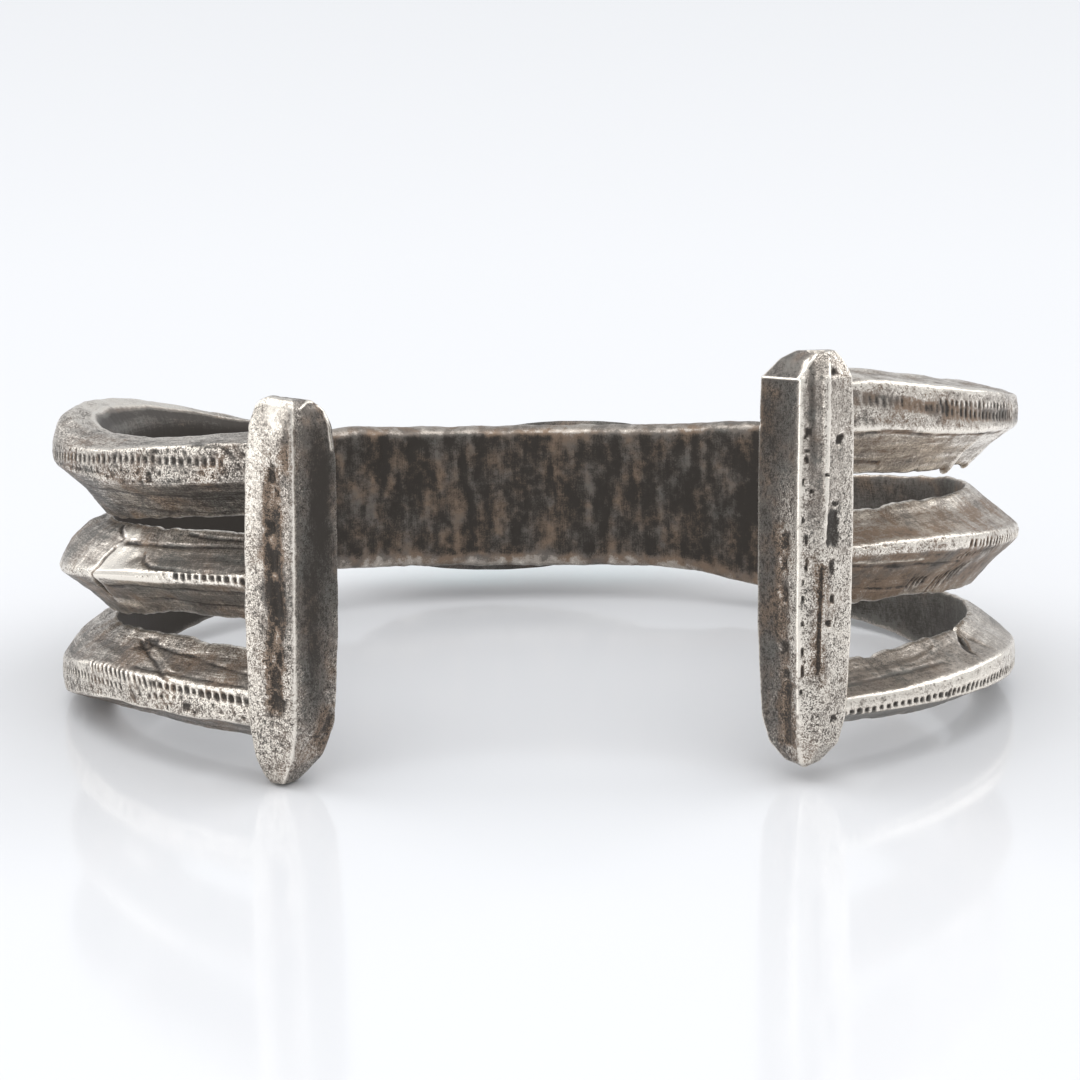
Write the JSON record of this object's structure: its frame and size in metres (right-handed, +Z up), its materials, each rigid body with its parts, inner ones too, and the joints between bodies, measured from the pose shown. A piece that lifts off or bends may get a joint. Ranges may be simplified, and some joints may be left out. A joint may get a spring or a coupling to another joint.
{
  "type": "turquoise cuff bracelet",
  "caption": "Old hand-made silver cuff of three ridged bands with stamped ridges, two upright end bars and an oval turquoise set on the front plate, lying on its side.",
  "frame": {"origin": "bottom centre of the resting cuff's bounding box, on the surface that it lies on", "axes": "+Z up from that surface, +X to the right along the cuff's width, -Y towards the gap between the end bars"},
  "size_m": [0.062, 0.0498, 0.0263],
  "materials": {
    "old_silver": "cast and filed, darkened, polished along ridges and edges",
    "turquoise": "polished cabochon with brown matrix"
  },
  "bodies": {
    "root": {"silver_cuff": "old_silver", "turquoise_stone": "turquoise"}
  },
  "joints": []
}
